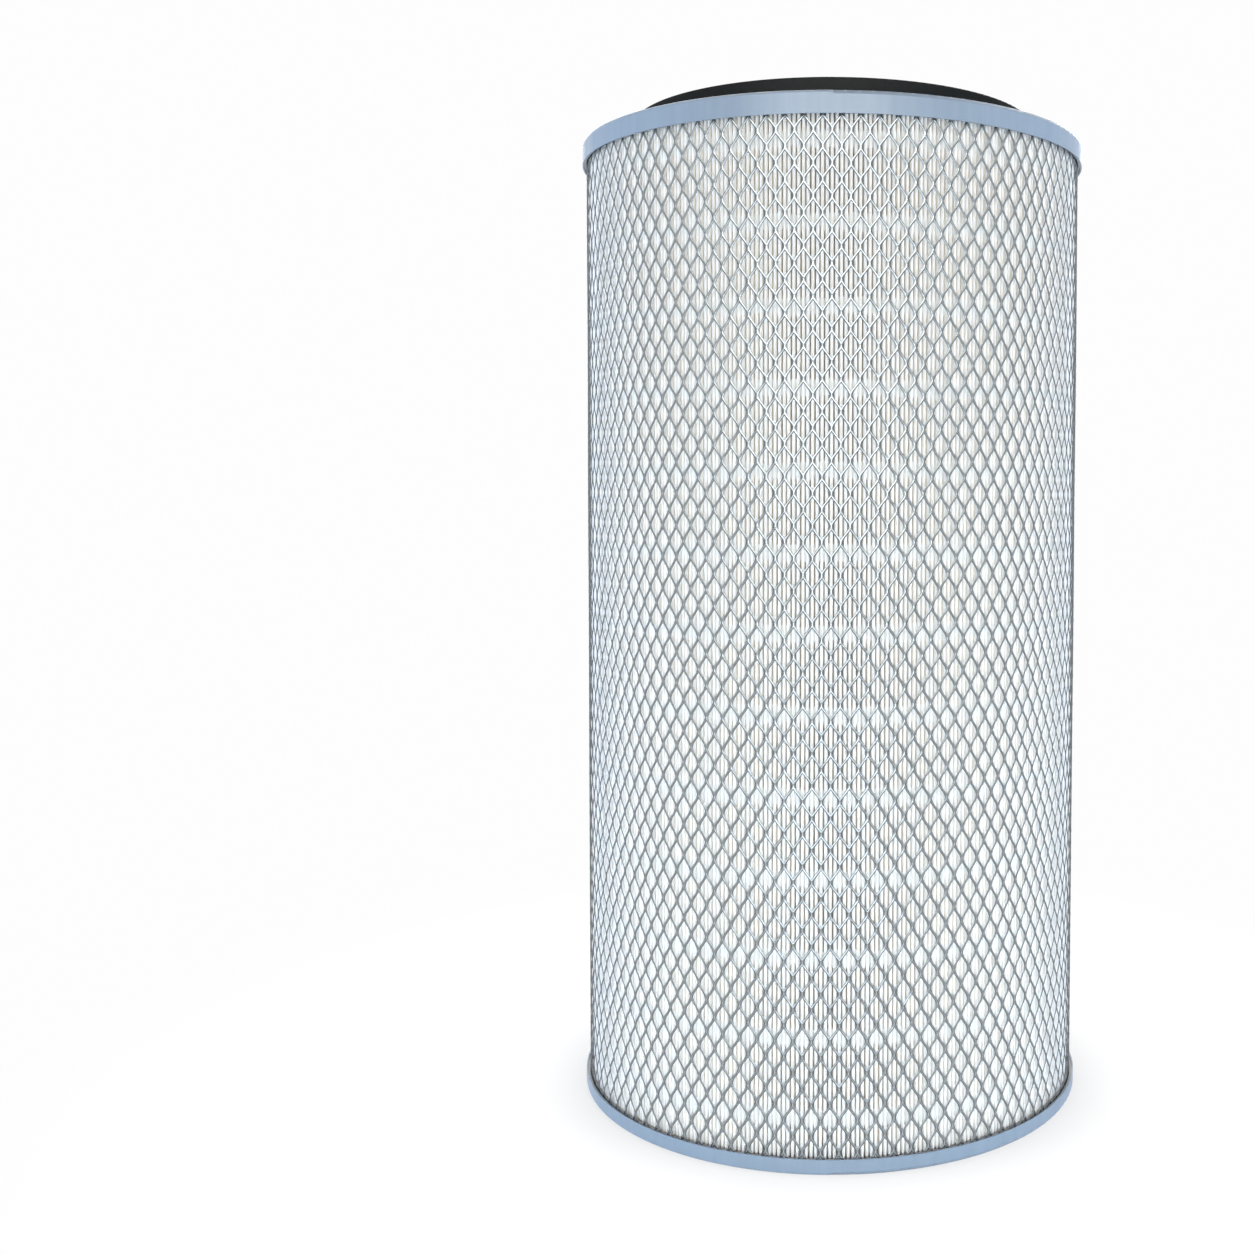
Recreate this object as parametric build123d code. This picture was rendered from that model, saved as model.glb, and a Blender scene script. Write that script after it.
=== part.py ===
"""Pleated air-filter cartridge: a ring of folded media between an outer cage and an inner core,
potted into two pressed steel end caps, with a face gasket on the open end.

The axis is Z. The origin is the centre of the closed end's rim plane, on which the cartridge stands,
and +Z runs towards the open end. All sizes are in millimetres.
"""

from build123d import *
from build123d.topology import SkipClean

import math
import os

# --- Overall ---
CAP_OUTER_R = 176.0  # outside of both cap skirts
BODY_HEIGHT = 660.0  # from rim to rim, without the gasket

# --- Pressed caps, both ends; every bend radius is that of the bend's inner side ---
CAP_SHEET = 1.0  # thickness of the pressed steel
RIM_BEND_R = 1.6  # where the skirt turns into the rim
RIM_RISE = 0.8  # the rim stands this far proud of the flat face
RIM_WIDTH = 5.0  # radial width of the rim, its corner included
RIM_SLOPE_RUN = 1.6  # radial length of the slope from the rim down to the face
RIM_SLOPE_R = 0.2  # from the rim into that slope
FACE_EDGE_R = 1.5  # from the slope into the face
CLOSED_SKIRT = 10.0  # height of the closed cap's skirt
OPEN_SKIRT = 14.0  # height of the open cap's skirt

# --- Open end ---
OPENING_R = 120.5  # clear radius of the outlet
NECK_DEPTH = 16.0  # how far the neck reaches into the core
NECK_BEND_R = 1.0
GASKET_SETBACK = 2.0  # from the outlet's wall to the gasket's inner edge
GASKET_WIDTH = 18.5
GASKET_THICKNESS = 17.4
GASKET_EDGE_R = 0.8
GLUE_THICKNESS = 0.4
GLUE_MARGIN = 1.5  # the glue stops this far inside both of the gasket's edges

# --- Closed end's dish, measured inward from its flat face ---
DISH_INSET = 4.3  # from the core's inside to the edge of the dish
DISH_BEND_R = 1.0
STEP_RUN = 10.5  # radial width of the steep step round the dish
STEP_DEPTH = 6.5
CONE_BEND_R = 4.0  # where the step meets the cone, and the cone the boss
BOSS_R = 30.0
BOSS_DEPTH = 19.0
BOLT_HOLE_R = 7.75
LIP_WIDTH = 1.45  # radial width of the raised lip round the bolt hole
LIP_RISE = 0.6
LIP_BEND_R = 0.1
WASHER_BORE_R = 7.0
WASHER_WIDTH = 13.0
WASHER_THICKNESS = 3.0

# --- Cage and core: expanded steel, rolled into tubes ---
CAGE_INSET = 2.5  # from the caps' outside to the cage's outside
CAGE_SHEET = 1.2
CORE_SHEET = 1.2
CORE_TO_NECK = 0.3

# --- Media and its hot-melt bands ---
PLEAT_COUNT = 370
PLEATS_PER_ARC = 10  # the ring of media is built from arcs of this many pleats
PLEAT_WIDTH = 1.9  # across one pleat, both its layers and the slot between them
MEDIA_THICKNESS = 0.6
MEDIA_TO_CORE = 0.4
BAND_COUNT = 13
BAND_HEIGHT = 12.0
BAND_THICKNESS = 1.0
BAND_TO_CAGE = 0.3
BAND_TO_MEDIA = 0.05
FIRST_BAND_Z = 33.0  # from the closed end's rim to the middle of the lowest band
LAST_BAND_DROP = 27.0  # from the open end's rim to the middle of the highest band
SEAM_STRIP_THICKNESS = 0.5
SEAM_STRIP_MARGIN = 1.5  # clear of the fold at both ends of its pleat

# --- Potting in the caps ---
POTTING_BELOW_LIP = 1.2  # the potting stops this far inside the skirts' lips
POTTING_UNDER_MESH = 1.5  # left under the ends of the cage and the core
POTTING_UNDER_MEDIA = 2.0
POTTING_INSIDE_CORE = 1.6  # how far the lower potting shows inside the core
MEDIA_SIDE_GAP = 0.2  # between the pleat folds and the walls of their channel

# --- Radii, from the outside inward ---
skirt_inner_r = CAP_OUTER_R - CAP_SHEET
cage_outer_r = CAP_OUTER_R - CAGE_INSET
cage_inner_r = cage_outer_r - CAGE_SHEET
band_outer_r = cage_inner_r - BAND_TO_CAGE
band_inner_r = band_outer_r - BAND_THICKNESS
media_outer_r = band_inner_r - BAND_TO_MEDIA

# --- Radii, from the outlet outward and inward ---
neck_outer_r = OPENING_R + CAP_SHEET
core_inner_r = neck_outer_r + CORE_TO_NECK
core_outer_r = core_inner_r + CORE_SHEET
media_inner_r = core_outer_r + MEDIA_TO_CORE
dish_r = core_inner_r - DISH_INSET
lip_r = BOLT_HOLE_R + LIP_WIDTH
gasket_inner_r = OPENING_R + GASKET_SETBACK
gasket_outer_r = gasket_inner_r + GASKET_WIDTH

# --- Heights ---
closed_face_z = RIM_RISE
closed_inside_z = closed_face_z + CAP_SHEET
boss_z = closed_face_z + BOSS_DEPTH
open_face_z = BODY_HEIGHT - RIM_RISE
open_inside_z = open_face_z - CAP_SHEET
glue_top_z = open_face_z + GLUE_THICKNESS
lower_potting_z = CLOSED_SKIRT - POTTING_BELOW_LIP
upper_potting_z = BODY_HEIGHT - OPEN_SKIRT + POTTING_BELOW_LIP
mesh_bottom_z = closed_inside_z + POTTING_UNDER_MESH
mesh_top_z = open_inside_z - POTTING_UNDER_MESH
media_bottom_z = closed_inside_z + POTTING_UNDER_MEDIA
media_top_z = open_inside_z - POTTING_UNDER_MEDIA


def ring(inner_r, outer_r, bottom_z, top_z):
    """A plain ring about the Z axis."""
    section = Circle(outer_r) - Circle(inner_r)
    return extrude(Plane.XY.offset(bottom_z) * section, amount=top_z - bottom_z)


def turned(*points):
    """A solid of revolution about Z, from the corners of its section as (radius, height)."""
    return revolve(Plane.XZ * make_face(Polyline(*points, close=True)), axis=Axis.Z)


def pressed_sheet(points, radii, side):
    """Revolves a bent sheet about Z: its outside face follows the points, with one radius per bend."""
    path = FilletPolyline(*points, radius=radii)
    section = make_face(offset(path, amount=CAP_SHEET, side=side, kind=Kind.INTERSECTION))
    return revolve(Plane.XZ * section, axis=Axis.Z)


def closed_end_cap():
    """The blind cap: skirt, rim, flat face, steep step, shallow cone, boss and lipped bolt hole."""
    rim_inner_r = CAP_OUTER_R - RIM_WIDTH
    points = [
        (CAP_OUTER_R, CLOSED_SKIRT),
        (CAP_OUTER_R, 0),
        (rim_inner_r, 0),
        (rim_inner_r - RIM_SLOPE_RUN, closed_face_z),
        (dish_r, closed_face_z),
        (dish_r - STEP_RUN, closed_face_z + STEP_DEPTH),
        (BOSS_R, boss_z),
        (lip_r + LIP_RISE, boss_z),
        (lip_r, boss_z - LIP_RISE),
        (BOLT_HOLE_R, boss_z - LIP_RISE),
    ]
    radii = [RIM_BEND_R + CAP_SHEET, RIM_SLOPE_R + CAP_SHEET, FACE_EDGE_R, DISH_BEND_R + CAP_SHEET]
    radii += [CONE_BEND_R, CONE_BEND_R, LIP_BEND_R, LIP_BEND_R + CAP_SHEET]
    return pressed_sheet(points, radii, Side.RIGHT)


def bolt_hole_washer():
    """The thick washer behind the boss, which takes the centre bolt's load."""
    inside_z = boss_z + CAP_SHEET
    return ring(WASHER_BORE_R, WASHER_BORE_R + WASHER_WIDTH, inside_z, inside_z + WASHER_THICKNESS)


def open_end_cap():
    """The ring cap: skirt, rim, flat face for the gasket, and the neck that centres the core."""
    rim_inner_r = CAP_OUTER_R - RIM_WIDTH
    points = [
        (CAP_OUTER_R, BODY_HEIGHT - OPEN_SKIRT),
        (CAP_OUTER_R, BODY_HEIGHT),
        (rim_inner_r, BODY_HEIGHT),
        (rim_inner_r - RIM_SLOPE_RUN, open_face_z),
        (OPENING_R, open_face_z),
        (OPENING_R, open_face_z - NECK_DEPTH),
    ]
    radii = [RIM_BEND_R + CAP_SHEET, RIM_SLOPE_R + CAP_SHEET, FACE_EDGE_R, NECK_BEND_R + CAP_SHEET]
    return pressed_sheet(points, radii, Side.LEFT)


def gasket_adhesive():
    """The glue film between the open cap's face and the gasket."""
    return ring(
        gasket_inner_r + GLUE_MARGIN, gasket_outer_r - GLUE_MARGIN, open_face_z, glue_top_z
    )


def sealing_gasket():
    """The thick face gasket, its four edges slightly rounded."""
    body = ring(gasket_inner_r, gasket_outer_r, glue_top_z, glue_top_z + GASKET_THICKNESS)
    return fillet(body.edges().filter_by(GeomType.CIRCLE), GASKET_EDGE_R)


def outer_cage():
    """The envelope of the expanded-steel cage round the pleats."""
    return ring(cage_inner_r, cage_outer_r, mesh_bottom_z, mesh_top_z)


def inner_core():
    """The envelope of the expanded-steel core that carries the pleats."""
    return ring(core_inner_r, core_outer_r, mesh_bottom_z, mesh_top_z)


def polar(radius, angle):
    """The point at that radius and angle about Z."""
    return (radius * math.cos(angle), radius * math.sin(angle))


def pleat_corners(pleats, tip_r, valley_r, half_width):
    """One side of the folded sheet over these pleats: flat tips, and walls that stay parallel."""
    corners = []
    for pleat in pleats:
        middle = 2 * math.pi * pleat / PLEAT_COUNT
        tip = half_width / tip_r
        valley = half_width / valley_r
        corners += [
            polar(valley_r, middle - valley),
            polar(tip_r, middle - tip),
            polar(tip_r, middle + tip),
            polar(valley_r, middle + valley),
        ]
    return corners


def media_arc(pleats):
    """The folded sheet over these pleats, cut through the valleys at both of its ends."""
    start = 2 * math.pi * (pleats[0] - 0.5) / PLEAT_COUNT
    end = 2 * math.pi * (pleats[-1] + 0.5) / PLEAT_COUNT
    valley_r = media_inner_r + MEDIA_THICKNESS
    dirty_side = pleat_corners(pleats, media_outer_r, valley_r, PLEAT_WIDTH / 2)
    clean_side = pleat_corners(
        pleats, media_outer_r - MEDIA_THICKNESS, media_inner_r, PLEAT_WIDTH / 2 - MEDIA_THICKNESS
    )
    corners = [polar(media_inner_r, start), polar(valley_r, start), *dirty_side]
    corners += [polar(valley_r, end), polar(media_inner_r, end), *reversed(clean_side)]
    section = Plane.XY.offset(media_bottom_z) * Face(Wire.make_polygon(corners, close=True))
    return extrude(section, amount=media_top_z - media_bottom_z)


def media_pack():
    """The whole folded sheet as one solid. Its end faces stay split into arcs, which keeps it light."""
    pleats = range(PLEAT_COUNT)
    first_of_arcs = range(0, PLEAT_COUNT, PLEATS_PER_ARC)
    arcs = [media_arc(pleats[first : first + PLEATS_PER_ARC]) for first in first_of_arcs]
    with SkipClean():
        return arcs[0].fuse(*arcs[1:])


def media_seam_strip():
    """The strip that joins the ends of the sheet, in the slot of the pleat at the back."""
    inner_r = media_inner_r + SEAM_STRIP_MARGIN
    outer_r = media_outer_r - MEDIA_THICKNESS - SEAM_STRIP_MARGIN
    back_pleat = round(PLEAT_COUNT / 4)
    strip = Box(
        outer_r - inner_r,
        SEAM_STRIP_THICKNESS,
        media_top_z - media_bottom_z,
        align=(Align.MIN, Align.CENTER, Align.MIN),
    )
    return Rot(0, 0, 360 * back_pleat / PLEAT_COUNT) * Pos(inner_r, 0, media_bottom_z) * strip


def hot_melt_band(index):
    """One of the beads laid round the pleat tips to keep them evenly apart."""
    pitch = (BODY_HEIGHT - FIRST_BAND_Z - LAST_BAND_DROP) / (BAND_COUNT - 1)
    bottom_z = FIRST_BAND_Z + pitch * index - BAND_HEIGHT / 2
    return ring(band_inner_r, band_outer_r, bottom_z, bottom_z + BAND_HEIGHT)


def media_channel(bottom_z, top_z):
    """The channel that the pleats' ends stand in, with a small gap along both of its walls."""
    return ring(media_inner_r - MEDIA_SIDE_GAP, media_outer_r + MEDIA_SIDE_GAP, bottom_z, top_z)


def lower_potting():
    """The potting in the closed cap, set round the lower ends of cage, core and pleats."""
    inner_r = core_inner_r - POTTING_INSIDE_CORE
    body = turned(
        (inner_r, closed_inside_z),
        (skirt_inner_r - RIM_BEND_R, closed_inside_z),
        (skirt_inner_r, closed_inside_z + RIM_BEND_R),
        (skirt_inner_r, lower_potting_z),
        (inner_r, lower_potting_z),
    )
    return body - outer_cage() - inner_core() - media_channel(media_bottom_z, lower_potting_z)


def upper_potting():
    """The potting in the open cap, set round the upper ends of cage, core and pleats."""
    body = turned(
        (neck_outer_r + NECK_BEND_R, open_inside_z),
        (skirt_inner_r - RIM_BEND_R, open_inside_z),
        (skirt_inner_r, open_inside_z - RIM_BEND_R),
        (skirt_inner_r, upper_potting_z),
        (neck_outer_r, upper_potting_z),
        (neck_outer_r, open_inside_z - NECK_BEND_R),
    )
    return body - outer_cage() - inner_core() - media_channel(upper_potting_z, media_top_z)


def all_pieces():
    """Every piece of the cartridge by its name."""
    pieces = {
        "closed_end_cap": closed_end_cap(),
        "bolt_hole_washer": bolt_hole_washer(),
        "open_end_cap": open_end_cap(),
        "gasket_adhesive": gasket_adhesive(),
        "sealing_gasket": sealing_gasket(),
        "outer_cage": outer_cage(),
        "inner_core": inner_core(),
        "media_pack": media_pack(),
        "media_seam_strip": media_seam_strip(),
        "lower_potting": lower_potting(),
        "upper_potting": upper_potting(),
    }
    for index in range(BAND_COUNT):
        pieces[f"hot_melt_band_{index + 1:02d}"] = hot_melt_band(index)
    return pieces


os.makedirs("parts", exist_ok=True)
for name, piece in all_pieces().items():
    export_step(piece, f"parts/{name}.step")
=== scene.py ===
"""The looks of a pleated air-filter cartridge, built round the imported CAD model.

It has white pleats with hot-melt bands, an expanded-steel cage and core, pale blue painted end caps
and a black gasket.
"""

import math

import bmesh
import bpy
import numpy as np
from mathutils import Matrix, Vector


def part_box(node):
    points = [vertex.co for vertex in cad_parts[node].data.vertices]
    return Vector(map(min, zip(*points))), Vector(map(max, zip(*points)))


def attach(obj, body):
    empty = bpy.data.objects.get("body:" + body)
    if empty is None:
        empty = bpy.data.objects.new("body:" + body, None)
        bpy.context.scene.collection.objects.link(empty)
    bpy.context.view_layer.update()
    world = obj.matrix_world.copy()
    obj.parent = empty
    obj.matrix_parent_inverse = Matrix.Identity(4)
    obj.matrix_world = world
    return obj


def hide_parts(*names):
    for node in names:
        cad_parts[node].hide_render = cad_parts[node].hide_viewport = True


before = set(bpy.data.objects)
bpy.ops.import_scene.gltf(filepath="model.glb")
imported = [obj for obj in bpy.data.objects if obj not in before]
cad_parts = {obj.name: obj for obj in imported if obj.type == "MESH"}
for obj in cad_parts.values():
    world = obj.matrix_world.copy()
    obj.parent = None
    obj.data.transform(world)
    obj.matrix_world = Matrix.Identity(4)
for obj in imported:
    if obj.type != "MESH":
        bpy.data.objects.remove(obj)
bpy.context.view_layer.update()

MM = 0.001
TURN = 2 * math.pi
SEAM_ANGLE = math.radians(90)  # the back, where the rolled sheets are joined


def radii_of(node):
    """The smallest and the largest radius of a round CAD node about the Z axis."""
    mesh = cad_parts[node].data
    points = np.empty(len(mesh.vertices) * 3)
    mesh.vertices.foreach_get("co", points)
    points = points.reshape(-1, 3)
    radii = np.hypot(points[:, 0], points[:, 1])
    return float(radii.min()), float(radii.max())


# --- Places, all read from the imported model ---
CAGE_R = radii_of("outer_cage")[1]
CORE_R = radii_of("inner_core")[1]
CAP_R = radii_of("closed_end_cap")[1]
PLEAT_ROOT_R, PLEAT_TIP_R = radii_of("media_pack")
MESH_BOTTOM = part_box("outer_cage")[0].z
MESH_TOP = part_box("outer_cage")[1].z
MEDIA_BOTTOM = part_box("media_pack")[0].z
MEDIA_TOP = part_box("media_pack")[1].z
BAND_NODES = sorted(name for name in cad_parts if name.startswith("hot_melt_band_"))
BAND_HEIGHTS = [(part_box(name)[0].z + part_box(name)[1].z) / 2 for name in BAND_NODES]

# --- Caps ---
BARE_LIP_R = 8.4 * MM  # inside this radius the bolt hole's lip has lost its paint

# --- Expanded steel ---
WALL = 0.7 * MM  # how deep the strands' cut edges go
DOME = 0.09 * MM  # how far a knuckle stands proud of its strands, and a strand's ridge of its edges
SLOPE_DROP = 0.35 * MM  # from a strand's edge down to the opening
LOWER_SLOPE = 0.6  # width of the slopes that face up, as a part of the others' width
LOWER_LIFT = 0.15 * MM  # how much less those slopes drop
EDGE_TILT = 0.05 * MM  # spread of the corners' heights, as the shears leave them
SAME_POINT = 0.02 * MM  # neighbours' corners closer than this are joined
SHARP_EDGE = math.radians(32)

# --- Media ---
PLEAT_COUNT = 370
PLEAT_HALF_WIDTH = 0.95 * MM
MEDIA_SHEET = 0.6 * MM
PLEAT_WANDER = 0.05 * MM  # how far a pleat strays sideways between two bands
LEVELS_PER_BAY = 2


def make_object(name, points, faces):
    """A smooth mesh object from an array of points and a list of faces."""
    mesh = bpy.data.meshes.new(name)
    mesh.from_pydata([tuple(p) for p in points], [], faces)
    mesh.validate()
    mesh.shade_smooth()
    piece = bpy.data.objects.new(name, mesh)
    bpy.context.scene.collection.objects.link(piece)
    return piece


def grid_faces(rows, columns):
    """The quads of a grid of points stored row by row, whose last column is joined to the first."""
    row, column = np.meshgrid(np.arange(rows - 1), np.arange(columns), indexing="ij")
    beside = (column + 1) % columns
    corners = (row * columns + column, row * columns + beside)
    above = ((row + 1) * columns + beside, (row + 1) * columns + column)
    return np.stack([*corners, *above], axis=-1).reshape(-1, 4)


def around(radius, angle, height):
    """Points about the Z axis."""
    return np.stack([radius * np.cos(angle), radius * np.sin(angle), height], axis=-1)


# ---------------------------------------------------------------- camera


def add_camera():
    """The camera stands level with the upper half, tipped slightly down, and frames to the left."""
    data = bpy.data.cameras.new("camera")
    data.lens = 42.2
    data.shift_x = -0.163
    data.shift_y = -0.0574
    data.clip_end = 100
    camera = bpy.data.objects.new("camera", data)
    camera.location = (0, -1.062, 0.421)
    camera.rotation_euler = (math.radians(90 - 2.5), math.radians(-0.15), 0)
    bpy.context.scene.collection.objects.link(camera)
    bpy.context.scene.camera = camera


add_camera()

# ---------------------------------------------------------------- expanded steel


def expanded_tube(name, radius, columns, rows, opening, half_bond, slope, overlap, seed):
    """A rolled tube of expanded steel, its diamonds upright.

    Its materials are 0 for the crests, 1 for the flanks, darker as painted shade, and 2 for the
    knuckles' faces, lighter as a painted highlight, and for the inner faces.

    columns: diamonds round the tube. rows: diamonds up its height.
    opening: (half width, half straight side, shoulder across, shoulder up, half height).
    half_bond: half the length of a knuckle, where two strands are one.
    slope: width of the sheared slope round each opening, along the strands and beside the knuckles.
    overlap: diamonds that lie double at the seam.
    """
    rng = np.random.default_rng(seed)
    half_width, side, shoulder_x, shoulder_y, half_height = opening
    short_way = TURN * radius / columns
    long_way = (MESH_TOP - MESH_BOTTOM) / rows

    def loop(half_width, side, shoulder_x, shoulder_y, half_height):
        """Ten corners round an opening, from the lower end of its right side."""
        right = [(half_width, -side), (half_width, side)]
        right = [(shoulder_x, -shoulder_y), *right, (shoulder_x, shoulder_y)]
        half = np.array([*right, (0, half_height)])
        return np.concatenate([half, -half])

    hole = loop(*opening)
    wide, knuckle_side = slope
    shoulder = (shoulder_x + wide * 0.8, shoulder_y + wide * 0.6)
    crest = loop(half_width + knuckle_side, side, *shoulder, half_height + wide * 1.3)
    lower = np.array([0, 8, 9])  # the opening's lower edges, whose slopes face up and are narrower
    crest[lower] = hole[lower] + LOWER_SLOPE * (crest[lower] - hole[lower])
    middle_x, middle_y = short_way / 2, long_way / 2 - half_bond
    knuckle_line = [(middle_x, part * half_bond) for part in (-1, -0.55, 0.55, 1)]
    half = np.array([*knuckle_line, (0, middle_y)])
    ridge = np.concatenate([half, -half])
    corners = len(ridge)
    local = np.concatenate([ridge, hole, crest, ridge])
    local_depth = np.repeat([-WALL, -SLOPE_DROP - 2 * DOME, -2 * DOME, -DOME], corners)
    knuckle = [1, 2, 6, 7]  # the middles of the bonds stand proud of the strands
    local_depth[3 * corners + np.array(knuckle)] = 0.0

    centres = []
    for row in range(-1, 2 * rows + 2):
        for column in range(columns + overlap):
            centres.append(((column + (row % 2) / 2) * short_way, row * long_way / 2))
    centres = np.array(centres)
    flat = centres[:, None, :] + local[None]
    depth = np.broadcast_to(local_depth[None], flat.shape[:2]).copy()
    tilt = rng.normal(0, EDGE_TILT, (len(centres), corners)).clip(-0.12 * MM, 0)
    depth[:, corners + lower] += LOWER_LIFT
    depth[:, corners : 2 * corners] += tilt
    depth[:, 2 * corners : 3 * corners] += tilt

    # Slow wander of the pattern and of the roundness, as in any rolled sheet. Whole turns close it.
    for _ in range(5):
        turns, phase = rng.integers(1, 12), rng.uniform(0, TURN, 2)
        wave = np.sin(flat[..., 0] / radius * turns + phase[0]) * np.sin(
            flat[..., 1] * rng.uniform(8, 40) + phase[1]
        )
        flat[..., 1] += wave * rng.uniform(0.1, 0.25) * MM
        depth += (wave - 1) * rng.uniform(0.02, 0.05) * MM

    angle = SEAM_ANGLE + flat[..., 0] / radius
    if overlap:
        from_end = (columns + overlap - flat[..., 0] / short_way) / (overlap + 3)
        depth += np.clip(1.6 - 1.6 * from_end, 0, 1) * (WALL + 0.05 * MM)
    points = around(radius + depth, angle, MESH_BOTTOM + flat[..., 1])

    corner = np.arange(corners)
    beside = (corner + 1) % corners
    quads = np.concatenate(
        [
            np.stack([k + corner, k + beside, k + corners + beside, k + corners + corner], 1)
            for k in (0, corners, 2 * corners)
        ]
    )
    faces = (np.arange(len(centres))[:, None, None] * len(local) + quads[None]).reshape(-1, 4)
    piece = make_object(name, points.reshape(-1, 3), faces.tolist())
    # The flanks take the darker steel as painted shade, and the knuckles' faces the lighter steel
    # as a painted highlight; the inner faces take the lighter steel too.
    shade = np.repeat([2, 1, 0], corners)
    shade[2 * corners + np.array([1, 6])] = 2
    shade = np.tile(shade, len(centres))
    piece.data.polygons.foreach_set("material_index", shade.astype(np.int32))

    mesh = bmesh.new()
    mesh.from_mesh(piece.data)
    bmesh.ops.remove_doubles(mesh, verts=mesh.verts, dist=SAME_POINT)
    for height, side in ((MESH_BOTTOM, -1), (MESH_TOP, 1)):
        cut = bmesh.ops.bisect_plane(
            mesh,
            geom=mesh.verts[:] + mesh.edges[:] + mesh.faces[:],
            dist=1e-7,
            plane_co=(0, 0, height),
            plane_no=(0, 0, side),
            clear_outer=True,
        )
        edges = [e for e in cut["geom_cut"] if isinstance(e, bmesh.types.BMEdge)]
        bmesh.ops.holes_fill(mesh, edges=edges, sides=0)
    bmesh.ops.recalc_face_normals(mesh, faces=mesh.faces[:])
    mesh.to_mesh(piece.data)
    mesh.free()
    piece.data.shade_smooth()
    piece.data.set_sharp_from_angle(angle=SHARP_EDGE)
    return piece


# ---------------------------------------------------------------- media


def media_levels():
    """Heights of the pleats' points: the ends, each band, and some between each two bands."""
    stops = [MEDIA_BOTTOM, *BAND_HEIGHTS, MEDIA_TOP]
    levels, sway = [], []
    for low, high in zip(stops, stops[1:]):
        for step in range(LEVELS_PER_BAY):
            part = step / LEVELS_PER_BAY
            levels.append(low + (high - low) * part)
            sway.append(math.sin(math.pi * part))
    return np.array([*levels, MEDIA_TOP]), np.array([*sway, 0.0])


def build_media():
    """The folded sheet: rounded outer folds that wander a little between the bands."""
    rng = np.random.default_rng(11)
    pitch = TURN / PLEAT_COUNT
    levels, sway = media_levels()
    half_fold = [(0.44, -0.08), (0.80, -0.36), (1.00, -1.00), (1.14, -2.0), (1.34, -3.4)]
    fold = np.array([(-x, y) for x, y in half_fold[::-1]] + [(0, 0)] + half_fold) * MM
    corners = len(fold) + 1
    centre = pitch * (np.arange(PLEAT_COUNT) + 0.5)
    bays = len(BAND_HEIGHTS) + 1
    stray = rng.normal(0, PLEAT_WANDER, (PLEAT_COUNT, bays))
    stray = stray.clip(-2 * PLEAT_WANDER, 2 * PLEAT_WANDER)
    rise = rng.normal(-0.10 * MM, 0.06 * MM, (PLEAT_COUNT, bays)).clip(-0.3 * MM, 0)
    fixed = rng.normal(0, 0.03 * MM, PLEAT_COUNT)

    dirty = np.empty((len(levels), PLEAT_COUNT, corners, 3))
    for level, height in enumerate(levels):
        bay = min(level // LEVELS_PER_BAY, bays - 1)
        shift = fixed + stray[:, bay] * sway[level]
        heights = np.full(PLEAT_COUNT, height)
        for k, (across, depth) in enumerate(fold):
            radius = PLEAT_TIP_R + depth + rise[:, bay] * sway[level]
            dirty[level, :, k] = around(radius, centre + (across + shift) / PLEAT_TIP_R, heights)
        valley = np.full(PLEAT_COUNT, PLEAT_ROOT_R + MEDIA_SHEET)
        dirty[level, :, corners - 1] = around(valley, centre + pitch / 2, heights)
    columns = PLEAT_COUNT * corners
    faces = grid_faces(len(levels), columns).tolist()

    slot = PLEAT_HALF_WIDTH - MEDIA_SHEET
    clean_top = PLEAT_TIP_R - 3 * MEDIA_SHEET
    clean_profile = [(-slot, PLEAT_ROOT_R), (-slot, clean_top)]
    clean_profile += [(slot, clean_top), (slot, PLEAT_ROOT_R)]
    clean = np.empty((2, PLEAT_COUNT, 4, 3))
    for end, height in enumerate((MEDIA_BOTTOM, MEDIA_TOP)):
        for k, (across, radius) in enumerate(clean_profile):
            ring = np.full(PLEAT_COUNT, radius)
            clean[end, :, k] = around(ring, centre + across / radius, np.full(PLEAT_COUNT, height))
    first_clean = len(levels) * columns
    inner = first_clean + grid_faces(2, PLEAT_COUNT * 4)[:, ::-1]
    faces += inner.tolist()
    for end, level in ((0, 0), (1, len(levels) - 1)):
        for pleat in range(PLEAT_COUNT):
            after = (pleat + 1) % PLEAT_COUNT
            first = level * columns + pleat * corners
            outer = [first + k for k in range(corners)] + [level * columns + after * corners]
            start = first_clean + end * PLEAT_COUNT * 4
            back = [start + pleat * 4 + k for k in range(4)] + [start + after * 4]
            loop = outer + back[::-1]
            faces.append(loop[::-1] if end == 0 else loop)
    points = np.concatenate([dirty.reshape(-1, 3), clean.reshape(-1, 3)])
    return make_object("media_pack_pleats", points, faces)


def smooth_noise(rng, count, spread):
    """A closed loop of random values, smoothed over that many neighbours, from about -1 to 1."""
    values = np.fft.rfft(rng.normal(0, 1, count))
    values *= np.exp(-0.5 * (np.arange(len(values)) * spread * 2.5 / count) ** 2)
    loop = np.fft.irfft(values, count)
    return loop / (np.abs(loop).max() + 1e-12)


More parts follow.
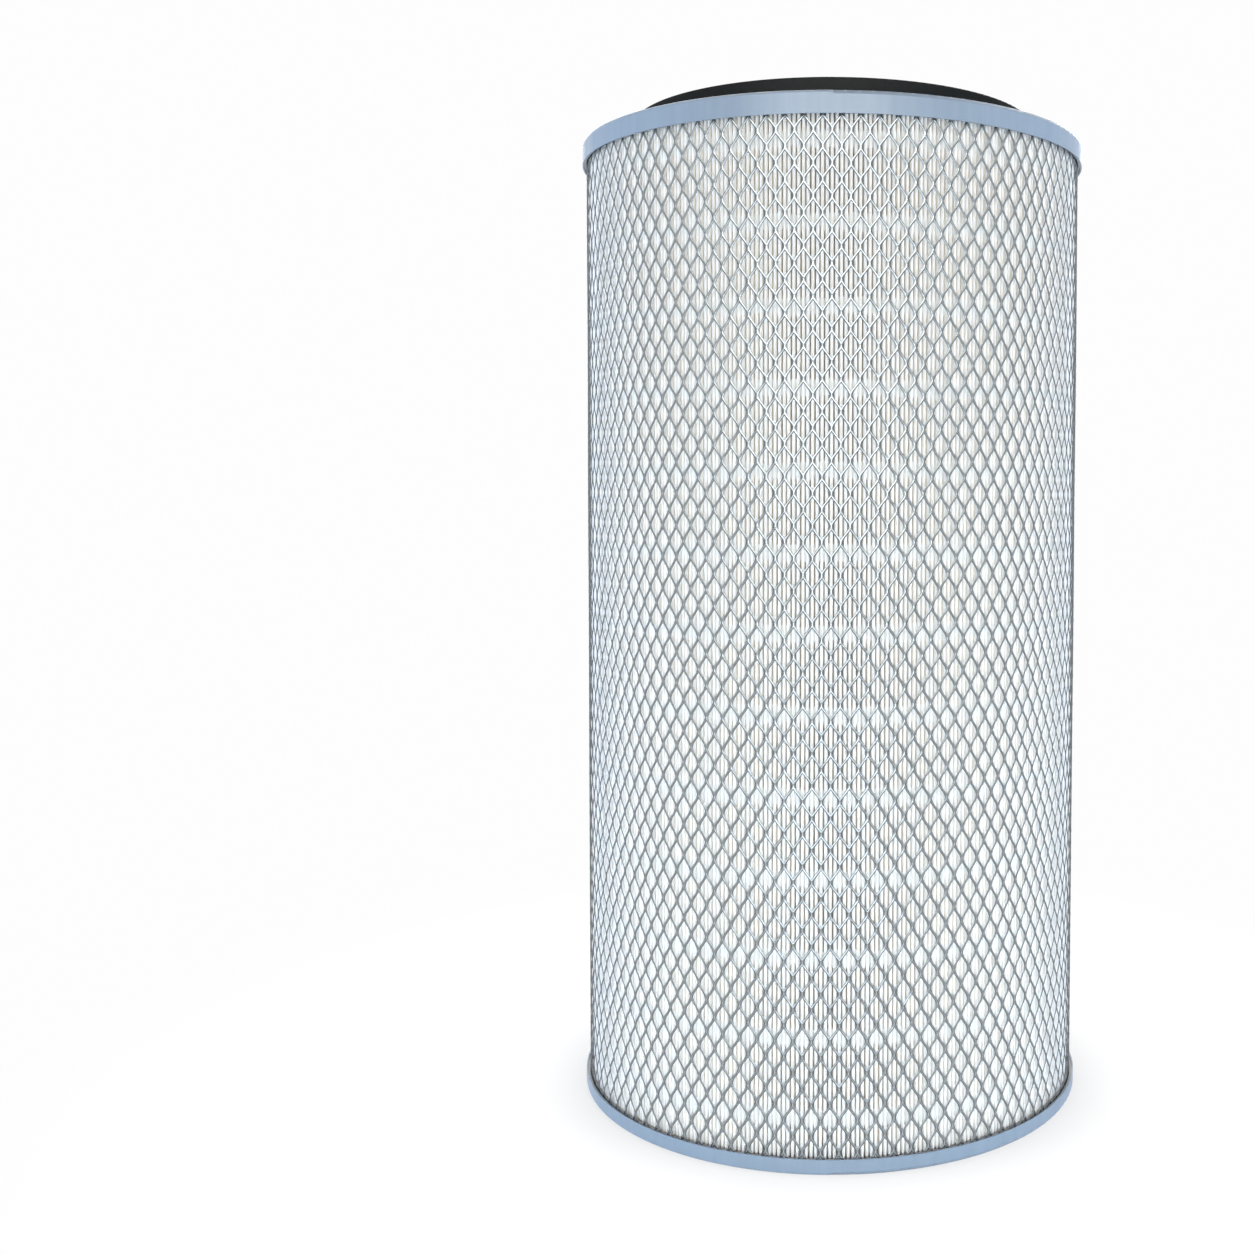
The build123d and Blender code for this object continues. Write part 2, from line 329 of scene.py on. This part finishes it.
def build_band(node, seed):
    """One hot-melt bead: a thin film over the fold tips that sags into the gaps."""
    rng = np.random.default_rng(seed)
    low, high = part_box(node)
    middle, half = (low.z + high.z) / 2, (high.z - low.z) / 2
    pitch = TURN / PLEAT_COUNT
    # Across one pleat: the part of its pitch and the film's depth in mm.
    tip = [(-0.17, -0.02), (0, 0.10), (0.17, -0.02)]
    section = np.array([(-0.5, -2.9), (-0.36, -0.95), *tip, (0.36, -0.95)])
    steps = len(section)
    count = PLEAT_COUNT * steps
    centres = np.repeat(np.arange(PLEAT_COUNT) + 0.5, steps)
    angle = pitch * (centres + np.tile(section[:, 0], PLEAT_COUNT))
    film = np.tile(section[:, 1] * MM, PLEAT_COUNT)
    in_gap = np.tile((section[:, 0] == -0.5).astype(float), PLEAT_COUNT)
    drape = in_gap * rng.uniform(-0.6, 1.2, count) * MM
    tips = np.repeat(rng.normal(0, 0.06, PLEAT_COUNT), steps)

    def reach():
        """How far the bead runs up or down from its middle, round the cartridge."""
        slow = 0.16 * smooth_noise(rng, count, 60) + 0.10 * smooth_noise(rng, count, 12)
        return half * (0.98 + slow + tips + in_gap * rng.uniform(-0.45, 0.1, count))

    upper, lower = reach(), reach()
    drift = 0.8 * MM * smooth_noise(rng, count, 400)
    # Up the bead: the part of its reach and how deep it lies in mm.
    rows = [(-1.0, -2.6), (-1.0, -0.42), (-0.8, -0.12), (-0.45, 0.02), (0.0, 0.06)]
    rows += [(0.45, 0.02), (0.8, -0.12), (1.0, -0.42), (1.0, -2.6)]
    points = []
    for part, sink in rows:
        height = middle + drift + part * (lower if part < 0 else upper)
        points.append(around(PLEAT_TIP_R + film + drape + sink * MM, angle, height))
    faces = grid_faces(len(rows), count).tolist()
    last = (len(rows) - 1) * count
    faces += [[last + k, last + (k + 1) % count, (k + 1) % count, k] for k in range(count)]
    return make_object(node + "_bead", np.concatenate(points), faces)


# ---------------------------------------------------------------- materials


def new_material(name, color, roughness, metallic=0.0):
    """A material with one Principled shader, and its node tree and shader."""
    material = bpy.data.materials.new(name)
    material.use_nodes = True
    tree = material.node_tree
    shader = tree.nodes["Principled BSDF"]
    shader.inputs["Base Color"].default_value = (*color, 1)
    shader.inputs["Roughness"].default_value = roughness
    shader.inputs["Metallic"].default_value = metallic
    material.diffuse_color = (*color, 1)
    return material, tree, shader


def noise(tree, scale, detail=3.0, stretch=(1, 1, 1), roughness=0.55):
    """A noise texture in metres of the part's own frame, stretched along its axes."""
    place = tree.nodes.new("ShaderNodeTexCoord")
    mapping = tree.nodes.new("ShaderNodeMapping")
    mapping.inputs["Scale"].default_value = stretch
    texture = tree.nodes.new("ShaderNodeTexNoise")
    texture.inputs["Scale"].default_value = scale
    texture.inputs["Detail"].default_value = detail
    texture.inputs["Roughness"].default_value = roughness
    tree.links.new(place.outputs["Object"], mapping.inputs["Vector"])
    tree.links.new(mapping.outputs["Vector"], texture.inputs["Vector"])
    return texture.outputs["Fac"]


def vary_color(tree, shader, value, low, high, start=0.35, end=0.65):
    """Colours the shader from low to high as the value goes from start to end."""
    ramp = tree.nodes.new("ShaderNodeValToRGB")
    ramp.color_ramp.elements[0].position = start
    ramp.color_ramp.elements[0].color = (*low, 1)
    ramp.color_ramp.elements[1].position = end
    ramp.color_ramp.elements[1].color = (*high, 1)
    tree.links.new(value, ramp.inputs["Fac"])
    tree.links.new(ramp.outputs["Color"], shader.inputs["Base Color"])


def vary_roughness(tree, shader, value, low, high):
    """Spreads the shader's roughness from low to high with the value."""
    spread = tree.nodes.new("ShaderNodeMapRange")
    spread.inputs["From Min"].default_value = 0.3
    spread.inputs["From Max"].default_value = 0.7
    spread.inputs["To Min"].default_value = low
    spread.inputs["To Max"].default_value = high
    tree.links.new(value, spread.inputs["Value"])
    tree.links.new(spread.outputs["Result"], shader.inputs["Roughness"])


def add_bump(tree, shader, value, distance, strength=1.0):
    """Bumps the shader by the value over that distance."""
    bump = tree.nodes.new("ShaderNodeBump")
    bump.inputs["Distance"].default_value = distance
    bump.inputs["Strength"].default_value = strength
    tree.links.new(value, bump.inputs["Height"])
    tree.links.new(bump.outputs["Normal"], shader.inputs["Normal"])


def from_axis(tree):
    """The distance from the Z axis."""
    place = tree.nodes.new("ShaderNodeTexCoord")
    flat = tree.nodes.new("ShaderNodeVectorMath")
    flat.operation = "MULTIPLY"
    flat.inputs[1].default_value = (1, 1, 0)
    tree.links.new(place.outputs["Object"], flat.inputs[0])
    distance = tree.nodes.new("ShaderNodeVectorMath")
    distance.operation = "LENGTH"
    tree.links.new(flat.outputs["Vector"], distance.inputs[0])
    return distance.outputs["Value"]


def paint_fold_shade(tree, shader, deep):
    """Paints shade between the pleats: turns the shader's colour to that one, going down between
    them.
    """
    surface = shader.inputs["Base Color"].links[0].from_socket
    depth = tree.nodes.new("ShaderNodeMapRange")
    depth.inputs["From Min"].default_value = PLEAT_TIP_R - 1.6 * MM
    depth.inputs["From Max"].default_value = PLEAT_TIP_R - 0.2 * MM
    tree.links.new(from_axis(tree), depth.inputs["Value"])
    shaded = tree.nodes.new("ShaderNodeMix")
    shaded.data_type = "RGBA"
    shaded.inputs["A"].default_value = (*deep, 1)
    tree.links.new(depth.outputs["Result"], shaded.inputs["Factor"])
    tree.links.new(surface, shaded.inputs["B"])
    tree.links.new(shaded.outputs["Result"], shader.inputs["Base Color"])


def cap_paint():
    """Pale blue powder coat with faint drawing streaks, bare steel on the lip of the bolt hole."""
    material, tree, shader = new_material("cap_powder_coat", (0.228, 0.300, 0.396), 0.42)
    shader.inputs["Specular IOR Level"].default_value = 0.45
    shader.inputs["Coat Weight"].default_value = 0.06
    shader.inputs["Coat Roughness"].default_value = 0.2
    streak = noise(tree, 160, 4, (1, 1, 0.02))
    vary_color(tree, shader, streak, (0.221, 0.291, 0.385), (0.235, 0.309, 0.407))
    vary_roughness(tree, shader, noise(tree, 34, 3, (1, 1, 0.08)), 0.30, 0.50)
    add_bump(tree, shader, noise(tree, 46, 2, (1, 1, 0.1)), 0.0012)
    bare = tree.nodes.new("ShaderNodeBsdfPrincipled")
    bare.inputs["Base Color"].default_value = (0.50, 0.52, 0.54, 1)
    bare.inputs["Metallic"].default_value = 1.0
    bare.inputs["Roughness"].default_value = 0.3
    painted = tree.nodes.new("ShaderNodeMapRange")
    painted.inputs["From Min"].default_value = BARE_LIP_R - 0.1 * MM
    painted.inputs["From Max"].default_value = BARE_LIP_R + 0.1 * MM
    tree.links.new(from_axis(tree), painted.inputs["Value"])
    lip = tree.nodes.new("ShaderNodeMixShader")
    tree.links.new(painted.outputs["Result"], lip.inputs["Fac"])
    tree.links.new(bare.outputs["BSDF"], lip.inputs[1])
    tree.links.new(shader.outputs["BSDF"], lip.inputs[2])
    tree.links.new(lip.outputs["Shader"], tree.nodes["Material Output"].inputs["Surface"])
    return material


def strand_steel(name, color, roughness):
    """Galvanised steel, dull and blue-grey."""
    material, tree, shader = new_material(name, color, roughness, 0.85)
    shader.inputs["Specular Tint"].default_value = (0.4, 0.4, 0.4, 1)
    vary_roughness(tree, shader, noise(tree, 240, 3), roughness - 0.06, roughness + 0.08)
    return material


def media_paper():
    """White pleated media: matt fibre mat, greyer down between the folds as painted shade."""
    material, tree, shader = new_material("white_media", (0.935, 0.94, 0.958), 0.92)
    shader.inputs["Specular IOR Level"].default_value = 0.1
    mottle = noise(tree, 130, 5, (1, 1, 0.25))
    vary_color(tree, shader, mottle, (0.925, 0.93, 0.948), (0.945, 0.95, 0.967))
    paint_fold_shade(tree, shader, (0.862, 0.842, 0.785))
    add_bump(tree, shader, noise(tree, 2600, 4, (1, 1, 0.3)), 0.0001, 0.6)
    return material


def hot_melt():
    """Cooled hot melt: milky, slightly blue and a little glossy."""
    material, tree, shader = new_material("hot_melt_bead", (0.87, 0.898, 0.914), 0.42)
    shader.inputs["Specular IOR Level"].default_value = 0.3
    vary_color(tree, shader, noise(tree, 160, 3), (0.858, 0.889, 0.907), (0.882, 0.907, 0.921))
    # Painted shade: the film turns greyer where it sags down between the folds.
    paint_fold_shade(tree, shader, (0.80, 0.82, 0.828))
    add_bump(tree, shader, noise(tree, 700, 3), 0.00012, 0.5)
    return material


def gasket_rubber():
    """Black closed-cell rubber with fine pores."""
    material, tree, shader = new_material("gasket_rubber", (0.0028, 0.0045, 0.0052), 0.62)
    shader.inputs["Specular IOR Level"].default_value = 0.14
    pores = noise(tree, 300, 4)
    vary_color(tree, shader, pores, (0.0018, 0.0032, 0.0038), (0.0038, 0.0058, 0.0066))
    add_bump(tree, shader, noise(tree, 1900, 4), 0.0002, 0.8)
    return material


def plain_plastic(name, color, roughness, grain):
    """Cast or cured resin with a slight unevenness."""
    material, tree, shader = new_material(name, color, roughness)
    dark = tuple(0.92 * c for c in color)
    light = tuple(min(1.0, 1.06 * c) for c in color)
    vary_color(tree, shader, noise(tree, grain, 3), dark, light)
    add_bump(tree, shader, noise(tree, grain * 4, 2), 0.0002, 0.5)
    return material


def zinc_steel():
    """Bright zinc-plated steel."""
    material, tree, shader = new_material("zinc_plate", (0.60, 0.62, 0.64), 0.25, 1.0)
    vary_roughness(tree, shader, noise(tree, 300, 3), 0.20, 0.34)
    return material


def dress(piece, *materials):
    """Gives the piece these materials, in the order of its faces' numbers."""
    if len(piece.data.materials):
        piece.data.materials.clear()  # which also sets every face's number to 0
    for material in materials:
        piece.data.materials.append(material)


# ---------------------------------------------------------------- build


def add_piece(piece, materials, nodes):
    """The piece rides on the only body and stands in for its CAD nodes, which are hidden."""
    dress(piece, *materials)
    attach(piece, "root")
    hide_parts(*nodes)


def dress_node(node, material):
    """Gives this material to a CAD node that is shown as it is."""
    dress(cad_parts[node], material)


# One steel in three tones: the flanks darker as painted shade, the knuckles lighter as a painted
# highlight.
steel = [
    strand_steel("galvanised_crests", (0.305, 0.335, 0.35), 0.22),
    strand_steel("darker_steel_flank_shade", (0.158, 0.172, 0.181), 0.42),
    strand_steel("lighter_steel_knuckle_highlight_and_inside", (0.45, 0.48, 0.49), 0.24),
]
cage = expanded_tube(
    "outer_cage_mesh",
    CAGE_R,
    columns=95,
    rows=33,
    opening=np.array([4.47, 0.5, 3.75, 2.5, 7.58]) * MM,
    half_bond=1.4 * MM,
    slope=(0.58 * MM, 0.93 * MM),
    overlap=1,
    seed=3,
)
add_piece(cage, steel, ["outer_cage"])
core = expanded_tube(
    "inner_core_mesh",
    CORE_R,
    columns=46,
    rows=22,
    opening=np.array([7.3, 1.0, 6.1, 3.8, 11.9]) * MM,
    half_bond=1.8 * MM,
    slope=(0.6 * MM, 1.0 * MM),
    overlap=0,
    seed=4,
)
add_piece(core, steel, ["inner_core"])

add_piece(build_media(), [media_paper()], ["media_pack"])
melt = hot_melt()
for number, band_node in enumerate(BAND_NODES):
    add_piece(build_band(band_node, 100 + number), [melt], [band_node])

paint = cap_paint()
dress_node("closed_end_cap", paint)
dress_node("open_end_cap", paint)
dress_node("bolt_hole_washer", zinc_steel())
dress_node("sealing_gasket", gasket_rubber())
dress_node("gasket_adhesive", plain_plastic("contact_glue", (0.10, 0.10, 0.10), 0.5, 200))
potting = plain_plastic("potting_resin", (0.36, 0.38, 0.40), 0.4, 90)
dress_node("lower_potting", potting)
dress_node("upper_potting", potting)
dress_node("media_seam_strip", plain_plastic("seam_resin", (0.75, 0.78, 0.80), 0.5, 200))

# ---------------------------------------------------------------- stage


WHITE = (0.985, 0.985, 0.985, 1)
SKY = 0.37  # strength of the world's light on the object
FLOOR_GLOW = 0.85  # what the camera sees of the floor near the object, before the lamps add to it
FLOOR_HALF_SIZE = 6.0
FLOOR_GAP = 0.2 * MM  # the floor lies this far under the standing rim
SHADOW_R = (0.22, 0.60)  # where the floor's shading starts to fade, and where it has gone
CONTACT_SHADE = 0.17  # painted contact shadow: how much darker the floor is right beside the rim
CONTACT_REACH = 0.075


def seen_by_gloss_and_camera(tree):
    """1 for camera, glossy and transmission rays, and 0 for the rays that light the object."""
    path = tree.nodes.new("ShaderNodeLightPath")
    total = path.outputs["Is Camera Ray"]
    for kind in ("Is Glossy Ray", "Is Transmission Ray"):
        either = tree.nodes.new("ShaderNodeMath")
        either.operation = "MAXIMUM"
        tree.links.new(total, either.inputs[0])
        tree.links.new(path.outputs[kind], either.inputs[1])
        total = either.outputs["Value"]
    return total


def add_floor():
    """A pale floor that is white to the camera, apart from the soft shadow round the cartridge,
    which is partly rendered and partly a painted contact shadow beside the rim.
    """
    mesh = bpy.data.meshes.new("floor")
    size = FLOOR_HALF_SIZE
    corners = [(-size, -size, 0), (size, -size, 0), (size, size, 0), (-size, size, 0)]
    mesh.from_pydata(corners, [], [(0, 1, 2, 3)])
    floor = bpy.data.objects.new("floor", mesh)
    floor.location.z = -FLOOR_GAP
    bpy.context.scene.collection.objects.link(floor)
    material, tree, shader = new_material("floor_white", (0.85, 0.94, 1.0), 0.9)
    shader.inputs["Specular IOR Level"].default_value = 0.1
    links = tree.links

    lit = tree.nodes.new("ShaderNodeBsdfDiffuse")
    lit.inputs["Color"].default_value = (0.3, 0.3, 0.3, 1)
    glow = tree.nodes.new("ShaderNodeEmission")
    glow.inputs["Color"].default_value = WHITE
    near = tree.nodes.new("ShaderNodeAddShader")
    links.new(lit.outputs["BSDF"], near.inputs[0])
    links.new(glow.outputs["Emission"], near.inputs[1])

    white = tree.nodes.new("ShaderNodeEmission")
    white.inputs["Color"].default_value = WHITE
    place = tree.nodes.new("ShaderNodeTexCoord")
    away = tree.nodes.new("ShaderNodeVectorMath")
    away.operation = "LENGTH"
    links.new(place.outputs["Object"], away.inputs[0])
    fade = tree.nodes.new("ShaderNodeMapRange")
    fade.interpolation_type = "SMOOTHSTEP"
    fade.inputs["From Min"].default_value = SHADOW_R[0]
    fade.inputs["From Max"].default_value = SHADOW_R[1]
    links.new(away.outputs["Value"], fade.inputs["Value"])
    # Painted contact shadow: the floor's glow is turned down near the rim.
    contact = tree.nodes.new("ShaderNodeMapRange")
    contact.inputs["From Min"].default_value = CAP_R
    contact.inputs["From Max"].default_value = CAP_R + CONTACT_REACH
    contact.inputs["To Min"].default_value = 1.0
    contact.inputs["To Max"].default_value = 0.0
    links.new(away.outputs["Value"], contact.inputs["Value"])
    eased = tree.nodes.new("ShaderNodeMath")
    eased.operation = "POWER"
    eased.inputs[1].default_value = 2.0
    links.new(contact.outputs["Result"], eased.inputs[0])
    near_glow = tree.nodes.new("ShaderNodeMath")
    near_glow.operation = "MULTIPLY_ADD"
    near_glow.inputs[1].default_value = -CONTACT_SHADE
    near_glow.inputs[2].default_value = FLOOR_GLOW
    links.new(eased.outputs["Value"], near_glow.inputs[0])
    links.new(near_glow.outputs["Value"], glow.inputs["Strength"])
    seen = tree.nodes.new("ShaderNodeMixShader")
    links.new(fade.outputs["Result"], seen.inputs["Fac"])
    links.new(near.outputs["Shader"], seen.inputs[1])
    links.new(white.outputs["Emission"], seen.inputs[2])

    mix = tree.nodes.new("ShaderNodeMixShader")
    links.new(seen_by_gloss_and_camera(tree), mix.inputs["Fac"])
    links.new(shader.outputs["BSDF"], mix.inputs[1])
    links.new(seen.outputs["Shader"], mix.inputs[2])
    links.new(mix.outputs["Shader"], tree.nodes["Material Output"].inputs["Surface"])
    dress(floor, material)


def add_area(name, place, aim, size, power, color, seen_by, spread=180):
    """A soft rectangular lamp, which lights either matt or glossy reflection.

    aim: the height on the Z axis at which it points. spread: in degrees.
    """
    data = bpy.data.lights.new(name, "AREA")
    data.shape = "RECTANGLE"
    data.size, data.size_y = size
    data.energy = power
    data.color = color
    data.spread = math.radians(spread)
    lamp = bpy.data.objects.new(name, data)
    lamp.location = place
    lamp.rotation_euler = (Vector((0, 0, aim)) - Vector(place)).to_track_quat("-Z", "Y").to_euler()
    lamp.visible_glossy = seen_by == "glossy"
    lamp.visible_diffuse = seen_by == "diffuse"
    bpy.context.scene.collection.objects.link(lamp)


def add_world():
    """White to the camera, and an even, nearly neutral light on the object."""
    world = bpy.data.worlds.new("studio")
    bpy.context.scene.world = world
    world.use_nodes = True
    tree = world.node_tree
    tree.nodes.clear()
    output = tree.nodes.new("ShaderNodeOutputWorld")
    light = tree.nodes.new("ShaderNodeBackground")
    light.inputs["Color"].default_value = (0.985, 0.98, 1.0, 1)
    light.inputs["Strength"].default_value = SKY
    seen = tree.nodes.new("ShaderNodeBackground")
    seen.inputs["Color"].default_value = WHITE
    seen.inputs["Strength"].default_value = 1.0
    mix = tree.nodes.new("ShaderNodeMixShader")
    tree.links.new(seen_by_gloss_and_camera(tree), mix.inputs["Fac"])
    tree.links.new(light.outputs["Background"], mix.inputs[1])
    tree.links.new(seen.outputs["Background"], mix.inputs[2])
    tree.links.new(mix.outputs["Shader"], output.inputs["Surface"])


# The lamps' colours: daylight from the windows, a low sun's from the key, and shade at the sides.
WINDOW = (1.0, 0.985, 0.95)
WARM_WINDOW = (1.0, 0.975, 0.91)
SHADED_WINDOW = (0.88, 0.95, 1.0)
AMBER = (1.0, 0.72, 0.30)
WARM = (1.0, 0.945, 0.81)
NEUTRAL = (0.98, 0.97, 0.96)
CLEAR = (0.84, 0.94, 1.0)
PALE = (0.88, 0.91, 1.0)
COOL = (0.60, 0.79, 1.0)

add_floor()
add_world()
# Name, place, height aimed at, size, watts, colour, and what it lights. All are in metres.
add_area("front_window", (-0.02, -1.35, 1.29), 0.52, (1.62, 1.4), 37.0, WARM_WINDOW, "glossy")
add_area("low_window", (-0.05, -1.45, 0.25), 0.20, (1.2, 0.35), 7.0, SHADED_WINDOW, "glossy")
add_area("key_softbox", (0.35, -1.45, 1.0), 0.60, (0.9, 0.7), 3.3, AMBER, "diffuse")
add_area("front_fill", (0.0, -1.5, 0.15), 0.10, (1.2, 0.4), 4.3, WARM, "diffuse")
add_area("low_fill", (0.0, -1.45, 0.15), 0.03, (1.2, 0.25), 0.9, CLEAR, "diffuse", 60)
add_area("left_high", (-2.05, -0.58, 0.98), 0.54, (1.4, 1.2), 19.0, PALE, "diffuse")
add_area("left_low", (-2.0, -0.70, 0.25), 0.12, (1.4, 0.4), 13.0, COOL, "diffuse")
add_area("right_high", (2.0, -0.70, 1.0), 0.56, (1.4, 1.2), 17.0, PALE, "diffuse")
add_area("right_low", (1.95, -0.85, 0.25), 0.12, (1.4, 0.4), 13.5, COOL, "diffuse")
add_area("back_window", (0.02, 1.35, 1.29), 0.52, (1.62, 1.4), 26.0, WINDOW, "glossy")
add_area("back_high", (0.0, 1.6, 0.80), 0.50, (1.2, 0.9), 8.5, NEUTRAL, "diffuse")
add_area("back_low", (0.0, 1.6, 0.20), 0.12, (1.2, 0.4), 5.5, NEUTRAL, "diffuse")

scene = bpy.context.scene
scene.view_settings.view_transform = "Standard"
